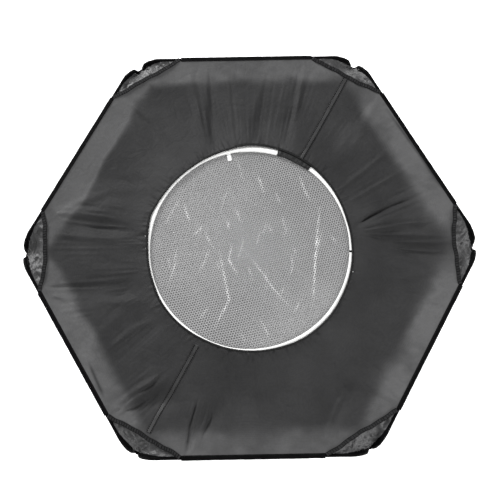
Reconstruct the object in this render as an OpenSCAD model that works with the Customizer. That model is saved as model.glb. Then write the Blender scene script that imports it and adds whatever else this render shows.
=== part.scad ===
// Hexagonal pop-up roundnet base: six spring-wire side panels hang from a
// fabric deck that carries a round net in a hooped rim. Millimetres, +Z up,
// origin on the ground under the middle of the net.

/* [Base] */
// Length of one side of the hexagon, along the hinge lines
side_len = 550; // [500:10:650]
// Height of the deck above the ground, to the top of the edge sleeves
deck_h = 250; // [235:5:262]
// Gap from each end of a side loop to the corner of the hexagon
end_gap = 8; // [8:0.1:10]
// Corner radius of a side loop, on its centre line
loop_r = 65; // [55:5:80]
// Distance from a corner of the hexagon to the end of an edge sleeve
leg = 113; // [100:1:120]

/* [Edge binding] */
// Outer diameter of the padded binding round each wire loop
bind_d = 8.8; // [8:0.2:9]
// Thickness of the sleeve tape round each loop's top run
tape_t = 0.9; // [0.8:0.1:1]
// Width of the sleeve's flange on the deck
flange_w = 4.5; // [4:0.5:8]
// Width of the elastic strap across each deck corner
strap_w = 10; // [8:1:14]
// How far each corner strap is drawn in by the deck cloth
strap_bow = 12; // [8:1:16]

/* [Wire] */
// Diameter of the spring-steel wire in the side loops
wire_d = 3.2; // [2.4:0.2:3.4]
// Diameter of the net hoop's wire
hoop_d = 3; // [2.4:0.2:3.2]

/* [Net] */
// Inner radius of the black hem round the opening
hem_ri = 243; // [242:1:245]
// Width of the black hem
hem_w = 9; // [9:1:12]
// Inner radius of the white rim band
rim_ri = 237; // [235:0.5:237]
// Thickness of the net as one closed sheet
net_t = 1.2; // [0.8:0.1:1.4]

/* [Panels] */
// Thickness of the deck and side cloth as closed solids
cloth_t = 0.8; // [0.6:0.1:1]
// Swing of the rear corner seams, to see how the hexagon folds flat
show_fold = 0; // [0:1:57]

/* [Hidden] */
SIDES = ["rear_right", "rear", "rear_left", "front_left", "front", "front_right"];
CORNERS = ["right", "rear_right", "rear_left", "left", "front_left", "front_right"];
// for each corner, the side that carries its tape, and on which side of the corner that is
TAPE_ON = [[0, 1], [1, 1], [1, -1], [2, -1], [3, -1], [4, -1]];
// for each side, whether its clockwise and anticlockwise ends take the other flap
WEBS = [[1, 0], [0, 0], [0, 1], [0, 1], [0, 1], [1, 1]];
$fn = 40;

bind_r = bind_d / 2;
sleeve_ri = bind_r + 0.35;
sleeve_ro = sleeve_ri + tape_t;
apothem = side_len * cos(30);
z_top = deck_h - sleeve_ro;      // centre line of a loop's top run
z_low = bind_r - 0.6;            // centre line of its bottom run, pressed flat on the ground
loop_l = side_len / 2 - end_gap; // half length of a loop's centre line
run = loop_l - loop_r;           // half length of its straight top run
sleeve_l = side_len / 2 - leg;   // half length of the sleeve on it
// the six corner seams: upright hinge lines on the inner faces of the loops
seam_in = bind_r + 1.1;                     // from a side's middle plane to the hinge lines
seam_c = (apothem - seam_in) / cos(30);     // their circle
seam_u = end_gap - seam_in * tan(30);       // from a hinge line to a loop's upright run
seam_z0 = z_low + loop_r - 27;
seam_z1 = z_top - loop_r + 27;
cord_r = 1.5;
edge_in = flange_w + 0.3;                   // edge of the deck, inside the side's middle plane
deck_z = z_top + sleeve_ri;      // underside of the deck
// a corner strap is an arc between the ends of two sleeves
chord = leg * sqrt(3);
strap_r = (chord * chord / 8 + strap_bow * strap_bow / 2) / strap_bow;
strap_c = side_len - leg / 2 - strap_bow + strap_r;
hem_ro = hem_ri + hem_w;
hem_z = deck_z - 1.7;            // underside of the hem
hem_top = deck_h + 0.6;
rim_t = 5.6;
rim_z = hem_z - rim_t;
rim_w = 14;
hoop_r = 241;
hoop_z = rim_z + rim_t / 2;
joint_a = 61;                    // where the hoop's two ends meet

module at_side(k) rotate([0, 0, 60 * k - 60]) translate([0, apothem, 0]) children();
module swing(a, corner) translate(seam_c * [cos(60 * corner), sin(60 * corner), 0])
  rotate([0, 0, a]) translate(-seam_c * [cos(60 * corner), sin(60 * corner), 0]) children();
// carries a side to its place in the fold: the rear side stays, the two front corners meet
module folded(k) {
  q = show_fold;
  if (k == 1) children();
  else if (k == 2) swing(-q, 2) children();
  else if (k == 3) swing(-q, 2) swing(2 * q, 3) children();
  else if (k == 4) swing(-q, 2) swing(2 * q, 3) swing(-q, 4) children();
  else if (k == 0) swing(q, 1) children();
  else swing(q, 1) swing(-2 * q, 0) children();
}
module at_panel(k) folded(k) at_side(k) children();

// ---- a closed loop on a rounded rectangle's centre line, any cross-section ----
module bend(q) translate([q[0] * run, 0, q[1]]) rotate([90, 0, 0]) rotate([0, 0, q[2]])
  rotate_extrude(angle = 90) translate([loop_r, 0]) children();
module loop_of() {
  for (z = [z_top, z_low]) translate([-run, 0, z]) rotate([90, 0, 90])
    linear_extrude(2 * run) children();
  for (s = [-1, 1]) translate([s * loop_l, 0, z_low + loop_r])
    linear_extrude(z_top - z_low - 2 * loop_r) children();
  bend([1, z_top - loop_r, 0]) children();
  bend([-1, z_top - loop_r, 90]) children();
  bend([-1, z_low + loop_r, 180]) children();
  bend([1, z_low + loop_r, 270]) children();
}
module disc2d(r) circle(r, $fn = 32);
module rounded2d(l, zl, zh, r) {
  translate([-(l - r), zl]) square([2 * (l - r), zh - zl]);
  translate([-l, zl + r]) square([2 * l, zh - zl - 2 * r]);
  for (s = [-1, 1], z = [zl + r, zh - r]) translate([s * (l - r), z]) circle(r, $fn = 96);
}

// ---- side panels ----
module side_wire() color("lightsteelblue") difference() {
  loop_of() disc2d(wire_d / 2);
  translate([0, 0, z_low]) cube([1, 8, 8], center = true); // the two ends, in the ferrule
}
module wire_ferrule() color("gainsboro") translate([-17, 0, z_low]) rotate([0, 90, 0]) difference() {
  cylinder(h = 34, r = wire_d / 2 + 1.2);
  translate([0, 0, -1]) cylinder(h = 36, r = wire_d / 2 + 0.15);
}
// web = [left, right]: which upright runs carry a flap of the corner seam's tape
module side_binding(web) color([0.07, 0.07, 0.08]) difference() {
  union() {
    loop_of() disc2d(bind_r);
    for (s = [-1, 1]) if (web[(s + 1) / 2]) mirror([s < 0 ? 1 : 0, 0, 0])
      translate([side_len / 2 - seam_in * tan(30) - 7, -seam_in + 0.1, seam_z0 + 22])
        cube([7 - cord_r - 0.4, 1.6, seam_z1 - seam_z0 - 44]);
  }
  loop_of() disc2d(wire_d / 2 + 0.3);
  translate([-18, 0, z_low]) rotate([0, 90, 0]) cylinder(h = 36, r = wire_d / 2 + 1.4);
  translate([-16, -0.6, z_low]) cube([32, 1.2, bind_r + 1]); // the seam, open over the ferrule
  translate([-side_len, -20, -20]) cube([2 * side_len, 40, 20]);
}
module side_cloth() color([0.25, 0.25, 0.26]) translate([0, cloth_t / 2, 0]) rotate([90, 0, 0])
  linear_extrude(cloth_t)
    rounded2d(loop_l - bind_r - 0.05, z_low + bind_r + 0.05, z_top - bind_r - 0.05, loop_r - bind_r - 0.05);

// ---- deck ----
// sleeve that a loop's top run turns in, open below and inwards, with its flange on the deck
module edge_sleeve(flange) color([0.05, 0.05, 0.06]) translate([-sleeve_l, 0, z_top]) rotate([90, 0, 90])
  linear_extrude(2 * sleeve_l) {
    intersection() {
      difference() { circle(sleeve_ro); circle(sleeve_ri); }
      polygon([[0, 0], [0, 10], [10, 10], [10, -9.4], [3.42, -9.4]]);
    }
    translate([-flange, sleeve_ri]) square([flange + 0.01, tape_t]);
  }
module hex2d(inset) circle(r = (apothem - inset) / cos(30), $fn = 6);
module deck_half(side) color([0.25, 0.25, 0.26]) translate([0, 0, deck_z]) linear_extrude(tape_t)
  difference() {
    hex2d(edge_in);
    circle(hem_ro, $fn = 180);
    for (k = [0:5]) rotate(60 * k) translate([strap_c, 0]) circle(strap_r + strap_w / 2, $fn = 180);
    rotate(60) translate([-side_len, side > 0 ? -2 * side_len : 0]) square([2 * side_len, 2 * side_len]);
  }
module deck_seam(a) color([0.16, 0.16, 0.17]) rotate([0, 0, a]) translate([hem_ro, -5, deck_h])
  cube([strap_c - strap_r - strap_w / 2 - hem_ro, 10, 0.6]);
module corner_strap(k) color([0.12, 0.12, 0.13]) translate([0, 0, deck_z - 0.1]) linear_extrude(1.5)
  intersection() {
    hex2d(edge_in);
    rotate(60 * k) translate([strap_c, 0]) difference() {
      circle(strap_r + strap_w / 2, $fn = 180);
      circle(strap_r - strap_w / 2, $fn = 180);
    }
    rotate(60 * k) translate([side_len - 2 * leg, -side_len / 2]) square([2 * leg, side_len]);
  }
// the deck's corner beyond a strap, falling with the loops' rounded ends to the corner seam
function fall(phi) = [side_len - (side_len / 2 - run) / 2 - edge_in * cos(30) + loop_r / 2 * cos(phi),
  z_top - loop_r + loop_r * sin(phi)];
module corner_cloth(k) color([0.33, 0.33, 0.34]) rotate([0, 0, 60 * k]) intersection() {
  rotate([90, 0, 0]) linear_extrude(2 * leg, center = true) polygon([
    [strap_c - strap_r + strap_w / 2 - 3, deck_h - 0.1], [fall(84)[0], deck_h - 1], fall(70), fall(52), fall(34), fall(18.5),
    fall(18.5) - [cloth_t, 0], fall(34) - [cloth_t, 0.3], fall(52) - [cloth_t, 0.5], fall(70) - [cloth_t, 0.7],
    [fall(84)[0] - 0.5, deck_h - 1 - cloth_t], [strap_c - strap_r + strap_w / 2 - 3, deck_h - 0.1 - cloth_t]]);
  linear_extrude(deck_h + 1) intersection() {
    hex2d(edge_in);
    translate([strap_c, 0]) circle(strap_r - strap_w / 2, $fn = 180);
    translate([side_len - 2 * leg, -leg]) square([2 * leg, 2 * leg]);
  }
}

// ---- opening, rim and net ----
module ring(ri, ro, z, t, hr, hz, hr0) rotate_extrude($fn = 180) difference() {
  translate([ri, z]) square([ro - ri, t]);
  translate([hr, hz]) circle(hr0, $fn = 32);
}
module opening_hem() color([0.05, 0.05, 0.06])
  ring(hem_ri, hem_ro, hem_z, hem_top - hem_z, hem_ri + hem_w / 2, (hem_z + hem_top) / 2, 1.35);
module hem_elastic() color("black") rotate_extrude($fn = 180)
  translate([hem_ri + hem_w / 2, (hem_z + hem_top) / 2]) circle(1.2, $fn = 32);
module net_rim_band() color("white") ring(rim_ri, rim_ri + rim_w, rim_z, rim_t, hoop_r, hoop_z, 2.2);
module net_hoop() color("lightsteelblue") rotate([0, 0, joint_a + 0.12])
  rotate_extrude(angle = 359.76, $fn = 180) translate([hoop_r, hoop_z]) circle(hoop_d / 2, $fn = 32);
module hoop_ferrule() color("gainsboro") rotate([0, 0, joint_a - 4])
  rotate_extrude(angle = 8, $fn = 180) translate([hoop_r, hoop_z]) difference() {
    circle(hoop_d / 2 + 0.6, $fn = 32);
    circle(hoop_d / 2 + 0.1, $fn = 32);
  }
module net() color([0.6, 0.6, 0.6]) translate([0, 0, rim_z - net_t]) cylinder(h = net_t, r = rim_ri + 6, $fn = 180);
module hoop_joint_cover() color([0.06, 0.06, 0.07]) rotate([0, 0, joint_a - 9.5])
  rotate_extrude(angle = 20.5, $fn = 180) translate([rim_ri - 1.5, hem_z]) square([hem_ri - 0.1 - rim_ri + 1.5, 1]);
module care_label() color("white") rotate([0, 0, 102]) translate([rim_ri - 20.5, -5.25, rim_z])
  cube([20.4, 10.5, 0.5]);

// ---- corner seams: a cord in the fold of a tape, with its flap on one loop ----
module corner_tape(a, s) color([0.05, 0.05, 0.06]) rotate([0, 0, a]) translate([seam_c, 0, 0])
  mirror([0, s > 0 ? 1 : 0, 0]) rotate([0, 0, -120]) {
    translate([0, 0, seam_z0]) cylinder(h = seam_z1 - seam_z0, r = cord_r, $fn = 32);
    translate([0, 0.1, seam_z0 + 22]) cube([7, 0.95, seam_z1 - seam_z0 - 44]);
  }

deck_half(1);  // deck_cloth_left
deck_half(-1);  // deck_cloth_right
deck_seam(60);  // deck_seam_rear
deck_seam(240);  // deck_seam_front
for (k = [0:5]) {
  at_panel(k) edge_sleeve(k == 1 ? edge_in : flange_w);
  corner_strap(k);
  corner_cloth(k);
  at_panel(k) side_cloth();
  at_panel(k) side_binding(WEBS[k]);
  at_panel(k) side_wire();
  at_panel(k) wire_ferrule();
}
for (k = [0:5]) folded(TAPE_ON[k][0]) corner_tape(60 * k, TAPE_ON[k][1]);
opening_hem();
hem_elastic();
net_rim_band();
net_hoop();
hoop_ferrule();
net();
hoop_joint_cover();
care_label();
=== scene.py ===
import bpy, math
import numpy as np
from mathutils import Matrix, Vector


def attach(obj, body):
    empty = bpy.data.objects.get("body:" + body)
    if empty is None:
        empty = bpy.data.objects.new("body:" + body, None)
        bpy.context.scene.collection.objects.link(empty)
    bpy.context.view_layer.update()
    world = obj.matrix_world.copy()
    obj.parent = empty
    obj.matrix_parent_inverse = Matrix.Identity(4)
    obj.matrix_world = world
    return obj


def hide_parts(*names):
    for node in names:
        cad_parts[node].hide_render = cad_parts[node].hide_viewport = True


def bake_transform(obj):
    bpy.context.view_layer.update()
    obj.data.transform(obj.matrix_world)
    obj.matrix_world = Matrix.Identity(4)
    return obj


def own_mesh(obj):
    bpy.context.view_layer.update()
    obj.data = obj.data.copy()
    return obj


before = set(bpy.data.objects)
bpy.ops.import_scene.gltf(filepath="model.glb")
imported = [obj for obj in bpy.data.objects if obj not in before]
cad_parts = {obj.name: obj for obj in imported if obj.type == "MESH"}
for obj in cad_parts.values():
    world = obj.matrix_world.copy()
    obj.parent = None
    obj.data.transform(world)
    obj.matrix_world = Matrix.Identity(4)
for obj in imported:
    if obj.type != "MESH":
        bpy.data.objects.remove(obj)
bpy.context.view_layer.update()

rng = np.random.default_rng(7)

# ------------------------------------------------------------------ sizes, the same as in the CAD model, in metres
SIDE, APO = 0.550, 0.550 * math.cos(math.radians(30))
BIND_R, SLEEVE_RI, SLEEVE_RO = 0.0044, 0.00475, 0.00565
Z_TOP, Z_LOW = 0.250 - SLEEVE_RO, 0.0038
LOOP_L, LOOP_R = 0.267, 0.065
RUN = LOOP_L - LOOP_R
EDGE_IN = 0.0048
HEM_RI, HEM_RO, RIM_RI, RIM_RO = 0.243, 0.252, 0.237, 0.251
HEM_Z, RIM_Z, NET_Z = 0.2474, 0.2418, 0.2412
LEG = 0.113
SLEEVE_L = SIDE / 2 - LEG
CHORD_C, CHORD_H = SIDE - LEG / 2, LEG * math.sqrt(3) / 2  # the line between two sleeves' ends: its distance, its half length
BOW = [0.0085, 0.0028, 0.0008, 0.0105, 0.0015, 0.0018]  # how far the cloth draws each strap in
SEAM_IN = BIND_R + 0.0011
SEAM_C = (APO - SEAM_IN) / math.cos(math.radians(30))
SIDES = ["rear_right", "rear", "rear_left", "front_left", "front", "front_right"]
CORNERS = ["right", "rear_right", "rear_left", "left", "front_left", "front_right"]
BODY = {"rear": "deck_and_rear", **{s: "side_" + s for s in SIDES if s != "rear"}}

# ------------------------------------------------------------------ camera
CAM = np.array([-0.0020, -0.2343, 1.6965])
ROT = [math.radians(v) for v in (8.97, 0.05, -1.01)]
FPX = 620.0
cam_data = bpy.data.cameras.new("camera")
cam = bpy.data.objects.new("camera", cam_data)
bpy.context.scene.collection.objects.link(cam)
cam.location = CAM
cam.rotation_euler = ROT
cam_data.sensor_fit = "HORIZONTAL"
cam_data.sensor_width = 36.0
cam_data.lens = FPX / 500 * 36
cam_data.clip_start, cam_data.clip_end = 0.05, 50
bpy.context.scene.camera = cam
CAM_M = np.array(cam.rotation_euler.to_matrix())


def at_px(px, py, z):
    """The point at height z that the camera sees at this pixel of the 500 x 500 frame."""
    d = CAM_M @ np.array([(px - 250) / FPX, -(py - 250) / FPX, -1.0])
    return CAM + d * (z - CAM[2]) / d[2]


# ------------------------------------------------------------------ mesh helpers
def put(name, verts, faces, mat, smooth=True):
    me = bpy.data.meshes.new(name)
    me.from_pydata([tuple(map(float, v)) for v in verts], [], [tuple(int(i) for i in f) for f in faces])
    me.validate()
    me.update()
    o = bpy.data.objects.new(name, me)
    bpy.context.scene.collection.objects.link(o)
    if smooth:
        me.polygons.foreach_set("use_smooth", [True] * len(me.polygons))
    if mat:
        me.materials.append(mat)
    return o


def grid(n, m, close_n=False, close_m=False):
    """Quads over n x m points, numbered i * m + j."""
    i = np.arange(n if close_n else n - 1)[:, None]
    j = np.arange(m if close_m else m - 1)[None, :]
    i2, j2 = (i + 1) % n, (j + 1) % m
    return np.stack([i * m + j, i2 * m + j, i2 * m + j2, i * m + j2], -1).reshape(-1, 4)


def side_place(k, p):
    """Points in a side's own frame, x along it, y outwards from its middle plane, to the row's frame."""
    a = math.radians(60 * k - 60)
    p = np.asarray(p, float)
    x, y, z = p[..., 0], p[..., 1] + APO, p[..., 2]
    return np.stack([x * math.cos(a) - y * math.sin(a), x * math.sin(a) + y * math.cos(a), z], -1)


def sweep(path, frames, section, close=True):
    """Rings of a 2-D section (along the frame's two axes) along a path; path n x 3, frames n x 2 x 3, section n x m x 2 or m x 2."""
    n = len(path)
    if section.ndim == 2:
        section = np.repeat(section[None], n, 0)
    v = path[:, None, :] + section[..., :1] * frames[:, None, 0] + section[..., 1:] * frames[:, None, 1]
    m = v.shape[1]
    return v.reshape(-1, 3), grid(n, m, close, True)


def smooth_noise(x, y, z, scale, seed):
    """Cheap band-limited noise from a sum of sines, about -1 to 1."""
    r = np.random.default_rng(seed)
    out = 0
    for _ in range(14):
        d = r.normal(size=3)
        d /= np.linalg.norm(d)
        f = (0.6 + 0.9 * r.random()) * 2 * math.pi / scale
        out = out + np.sin(f * (d[0] * x + d[1] * y + d[2] * z) + r.random() * 2 * math.pi)
    return out / 5.0


def stitches(name, lines, mat, length=0.0032, pitch=0.0048, width=0.0007, height=0.0004, up=None):
    """Short raised thread capsules along each line; lines is a list of (points n x 3, normals n x 3)."""
    V, F = [], []
    sec = np.array([[-1, 0], [-0.6, 0.8], [0.6, 0.8], [1, 0]])
    for pts, nor in lines:
        seg = np.linalg.norm(np.diff(pts, axis=0), axis=1)
        s = np.concatenate([[0], np.cumsum(seg)])
        for c in np.arange(pitch * 0.7, s[-1] - pitch * 0.5, pitch):
            base = len(V)
            ends = []
            for q, w in ((-0.5, 0.35), (-0.32, 1), (0.32, 1), (0.5, 0.35)):
                a = c + q * length
                p = np.array([np.interp(a, s, pts[:, d]) for d in range(3)])
                n = np.array([np.interp(a, s, nor[:, d]) for d in range(3)])
                ends.append((p, n, w))
            t = ends[-1][0] - ends[0][0]
            t /= np.linalg.norm(t)
            for p, n, w in ends:
                n = n / np.linalg.norm(n)
                b = np.cross(n, t)
                for u, h in sec:
                    V.append(p + b * u * width / 2 * w + n * (h * height * w - 0.00005))
            for i in range(3):
                for j in range(3):
                    F.append([base + i * 4 + j, base + (i + 1) * 4 + j, base + (i + 1) * 4 + j + 1, base + i * 4 + j + 1])
            F.append([base, base + 1, base + 2, base + 3])
            F.append([base + 15, base + 14, base + 13, base + 12])
    return put(name, V, F, mat)


def attribute(o, name, values):
    a = o.data.attributes.new(name, "FLOAT", "POINT")
    a.data.foreach_set("value", np.asarray(values, np.float32))


# ------------------------------------------------------------------ materials
def material(name):
    m = bpy.data.materials.new(name)
    m.use_nodes = True
    t = m.node_tree
    b = t.nodes["Principled BSDF"]
    return m, t, b


def node(t, kind, **values):
    n = t.nodes.new(kind)
    for k, v in values.items():
        if k.startswith("in_"):
            n.inputs[k[3:].replace("_", " ")].default_value = v
        else:
            setattr(n, k, v)
    return n


def fabric(name, dark, light, rough=0.6, sheen=0.0, weave=0.0006, bump=0.25, blotch=0.05, band=None, spec=0.5, streak=0.0, crease=0.0, crease_size=0.05, mottle=0.0):
    """Woven cloth: blotchy base colour between dark and light, fine crossed threads in bump and colour."""
    m, t, b = material(name)
    co = node(t, "ShaderNodeTexCoord")
    noise = node(t, "ShaderNodeTexNoise", in_Scale=1 / blotch, in_Detail=6.0, in_Roughness=0.62)
    t.links.new(co.outputs["Object"], noise.inputs["Vector"])
    ramp = node(t, "ShaderNodeMapRange", in_From_Min=0.3, in_From_Max=0.7, in_To_Min=0.0, in_To_Max=1.0)
    t.links.new(noise.outputs["Fac"], ramp.inputs["Value"])
    mix = node(t, "ShaderNodeMix", data_type="RGBA")
    mix.inputs[6].default_value = (*dark, 1)
    mix.inputs[7].default_value = (*light, 1)
    t.links.new(ramp.outputs[0], mix.inputs[0])
    colour = mix.outputs[2]
    # painted light: along the deck's edges the colour is lifted towards this lighter tone, for light that comes through
    # the cloth there
    if band is not None:
        at = node(t, "ShaderNodeAttribute", attribute_name="band")
        mix2 = node(t, "ShaderNodeMix", data_type="RGBA")
        t.links.new(at.outputs["Fac"], mix2.inputs[0])
        t.links.new(colour, mix2.inputs[6])
        mul = node(t, "ShaderNodeMix", data_type="RGBA", blend_type="MULTIPLY")
        mul.inputs[0].default_value = 1.0
        mul.inputs[6].default_value = (*band, 1)
        lift = node(t, "ShaderNodeMapRange", in_From_Min=0.25, in_From_Max=0.75, in_To_Min=0.86, in_To_Max=1.12)
        t.links.new(noise.outputs["Fac"], lift.inputs["Value"])
        t.links.new(lift.outputs[0], mul.inputs[7])
        t.links.new(mul.outputs[2], mix2.inputs[7])
        colour = mix2.outputs[2]
    # threads
    w1 = node(t, "ShaderNodeTexWave", wave_type="BANDS", bands_direction="X", in_Scale=0.314 / weave, in_Distortion=0.6, in_Detail=1.0)
    w2 = node(t, "ShaderNodeTexWave", wave_type="BANDS", bands_direction="Y", in_Scale=0.314 / weave, in_Distortion=0.6, in_Detail=1.0)
    t.links.new(co.outputs["Object"], w1.inputs["Vector"])
    t.links.new(co.outputs["Object"], w2.inputs["Vector"])
    w3 = node(t, "ShaderNodeTexWave", wave_type="BANDS", bands_direction="Z", in_Scale=0.314 / weave, in_Distortion=0.6, in_Detail=1.0)
    t.links.new(co.outputs["Object"], w3.inputs["Vector"])
    add = node(t, "ShaderNodeMath", operation="ADD")
    t.links.new(w1.outputs["Fac"], add.inputs[0])
    t.links.new(w2.outputs["Fac"], add.inputs[1])
    add2 = node(t, "ShaderNodeMath", operation="ADD")
    t.links.new(add.outputs[0], add2.inputs[0])
    t.links.new(w3.outputs["Fac"], add2.inputs[1])
    shade = node(t, "ShaderNodeMapRange", in_From_Min=0.0, in_From_Max=3.0, in_To_Min=0.88, in_To_Max=1.1)
    t.links.new(add2.outputs[0], shade.inputs["Value"])
    if mottle:
        fine = node(t, "ShaderNodeTexNoise", in_Scale=160.0, in_Detail=8.0, in_Roughness=0.75)
        t.links.new(co.outputs["Object"], fine.inputs["Vector"])
        fm = node(t, "ShaderNodeMapRange", in_From_Min=0.3, in_From_Max=0.7, in_To_Min=1 - mottle, in_To_Max=1 + mottle)
        t.links.new(fine.outputs["Fac"], fm.inputs["Value"])
        ft = node(t, "ShaderNodeMix", data_type="RGBA", blend_type="MULTIPLY")
        ft.inputs[0].default_value = 1.0
        t.links.new(colour, ft.inputs[6])
        t.links.new(fm.outputs[0], ft.inputs[7])
        colour = ft.outputs[2]
    tint = node(t, "ShaderNodeMix", data_type="RGBA", blend_type="MULTIPLY")
    tint.inputs[0].default_value = 1.0
    t.links.new(colour, tint.inputs[6])
    t.links.new(shade.outputs[0], tint.inputs[7])
    t.links.new(tint.outputs[2], b.inputs["Base Color"])
    rr = node(t, "ShaderNodeMapRange", in_From_Min=0.3, in_From_Max=0.7, in_To_Min=rough - 0.06, in_To_Max=rough + 0.06)
    t.links.new(noise.outputs["Fac"], rr.inputs["Value"])
    t.links.new(rr.outputs[0], b.inputs["Roughness"])
    crumple = node(t, "ShaderNodeTexNoise", in_Scale=90.0, in_Detail=5.0, in_Roughness=0.6)
    t.links.new(co.outputs["Object"], crumple.inputs["Vector"])
    bp1 = node(t, "ShaderNodeBump", in_Strength=streak, in_Distance=0.002)
    t.links.new(crumple.outputs["Fac"], bp1.inputs["Height"])
    below = bp1
    if crease:
        # a net of sharp little creases, as thin nylon takes when it is crushed
        warp = node(t, "ShaderNodeTexNoise", in_Scale=0.9 / crease_size, in_Detail=3.0)
        t.links.new(co.outputs["Object"], warp.inputs["Vector"])
        sh = node(t, "ShaderNodeVectorMath", operation="SCALE")
        t.links.new(warp.outputs["Color"], sh.inputs[0])
        sh.inputs["Scale"].default_value = crease_size * 1.6
        ad = node(t, "ShaderNodeVectorMath", operation="ADD")
        t.links.new(co.outputs["Object"], ad.inputs[0])
        t.links.new(sh.outputs[0], ad.inputs[1])
        for q, (size, share) in enumerate(((crease_size, 1.0), (crease_size * 0.43, 0.6))):
            vor = node(t, "ShaderNodeTexVoronoi", feature="DISTANCE_TO_EDGE", in_Scale=1 / size)
            t.links.new(ad.outputs[0], vor.inputs["Vector"])
            vm = node(t, "ShaderNodeMapRange", in_From_Min=0.0, in_From_Max=0.16, in_To_Min=0.0, in_To_Max=1.0)
            t.links.new(vor.outputs["Distance"], vm.inputs["Value"])
            b2 = node(t, "ShaderNodeBump", in_Strength=crease * share, in_Distance=0.0016)
            t.links.new(vm.outputs[0], b2.inputs["Height"])
            t.links.new(below.outputs[0], b2.inputs["Normal"])
            below = b2
    bp = node(t, "ShaderNodeBump", in_Strength=bump, in_Distance=0.0002)
    t.links.new(add2.outputs[0], bp.inputs["Height"])
    t.links.new(below.outputs[0], bp.inputs["Normal"])
    t.links.new(bp.outputs[0], b.inputs["Normal"])
    b.inputs["Sheen Weight"].default_value = sheen
    b.inputs["Sheen Roughness"].default_value = 0.45
    b.inputs["Specular IOR Level"].default_value = spec
    b.inputs["Transmission Weight"].default_value = 0.0
    return m


def metal(name, colour, rough):
    m, t, b = material(name)
    co = node(t, "ShaderNodeTexCoord")
    n = node(t, "ShaderNodeTexNoise", in_Scale=220.0, in_Detail=4.0)
    t.links.new(co.outputs["Object"], n.inputs["Vector"])
    r = node(t, "ShaderNodeValToRGB")
    r.color_ramp.elements[0].color = (*[c * 0.75 for c in colour], 1)
    r.color_ramp.elements[1].color = (*[min(1, c * 1.15) for c in colour], 1)
    t.links.new(n.outputs["Fac"], r.inputs[0])
    t.links.new(r.outputs[0], b.inputs["Base Color"])
    q = node(t, "ShaderNodeMapRange", in_To_Min=rough - 0.08, in_To_Max=rough + 0.1)
    t.links.new(n.outputs["Fac"], q.inputs["Value"])
    t.links.new(q.outputs[0], b.inputs["Roughness"])
    bp = node(t, "ShaderNodeBump", in_Strength=0.15, in_Distance=0.0001)
    t.links.new(n.outputs["Fac"], bp.inputs["Height"])
    t.links.new(bp.outputs[0], b.inputs["Normal"])
    b.inputs["Metallic"].default_value = 1.0
    return m


# the deck's third, lighter tone is painted light for its edge strip
M_DECK = fabric("deck_nylon", (0.0205, 0.0205, 0.0210), (0.0310, 0.0310, 0.0316), rough=0.60, sheen=0.01, blotch=0.12, band=(0.084, 0.084, 0.085), bump=0.3, streak=0.35, spec=0.10, crease=0.20, crease_size=0.06, mottle=0.10)
# painted light: the corner cloths are the deck's nylon in a lighter colour, for light coming through them and to make
# up for the slope
M_CORNER_LIT = fabric("corner_nylon_lit", (0.032, 0.032, 0.033), (0.058, 0.058, 0.059), rough=0.42, sheen=0.02, blotch=0.035, bump=0.3, streak=0.4, spec=0.4, crease=0.35, crease_size=0.04, mottle=0.07)
M_SIDE = fabric("side_nylon", (0.024, 0.024, 0.0245), (0.038, 0.038, 0.0388), rough=0.55, sheen=0.02, blotch=0.1, bump=0.3, streak=0.3, spec=0.14, crease=0.3, crease_size=0.07, mottle=0.08)
M_TAPE = fabric("edge_tape", (0.0020, 0.0020, 0.0021), (0.0040, 0.0040, 0.0042), rough=0.6, sheen=0.0, weave=0.0009, bump=0.5, blotch=0.03, streak=0.35, spec=0.02)
M_BIND = fabric("loop_binding", (0.0013, 0.0013, 0.0014), (0.0028, 0.0028, 0.0030), rough=0.55, sheen=0.0, weave=0.0008, bump=0.5, blotch=0.02, streak=0.4, spec=0.025)
M_ELAST = fabric("strap_elastic", (0.010, 0.010, 0.0105), (0.026, 0.026, 0.027), rough=0.7, sheen=0.0, weave=0.0012, bump=0.7, blotch=0.012, spec=0.12)
M_HEM = fabric("hem_tape", (0.0035, 0.0035, 0.0036), (0.008, 0.008, 0.0083), rough=0.6, sheen=0.0, weave=0.0007, bump=0.4, blotch=0.015, streak=0.5, spec=0.2)
M_COVER = fabric("cover_cloth", (0.003, 0.003, 0.0032), (0.009, 0.009, 0.0095), rough=0.5, sheen=0.0, weave=0.0007, bump=0.4, blotch=0.02, streak=0.6, spec=0.3)
M_SEAM = fabric("seam_tape", (0.016, 0.016, 0.0165), (0.028, 0.028, 0.0285), rough=0.5, sheen=0.0, weave=0.0006, bump=0.4, blotch=0.03, spec=0.35)
M_THREAD = fabric("black_thread", (0.0015, 0.0015, 0.0015), (0.004, 0.004, 0.004), rough=0.7, weave=0.0003, bump=0.5, blotch=0.004, spec=0.1)
M_THREAD2 = fabric("dark_thread", (0.005, 0.005, 0.005), (0.012, 0.012, 0.012), rough=0.7, weave=0.0003, bump=0.5, blotch=0.004, spec=0.2)
M_RIM = fabric("rim_webbing", (0.80, 0.80, 0.79), (0.88, 0.88, 0.87), rough=0.6, weave=0.0008, bump=0.5, blotch=0.03, spec=0.3)
M_LABEL = fabric("label_cloth", (0.80, 0.80, 0.80), (0.88, 0.88, 0.88), rough=0.45, weave=0.0004, bump=0.3, blotch=0.01)
M_CORD = fabric("elastic_cord", (0.005, 0.005, 0.005), (0.012, 0.012, 0.012), rough=0.7, weave=0.0006, bump=0.7, blotch=0.004)
M_STEEL = metal("spring_steel", (0.45, 0.45, 0.47), 0.32)
M_CRIMP = metal("crimp_steel", (0.6, 0.6, 0.62), 0.4)


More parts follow.
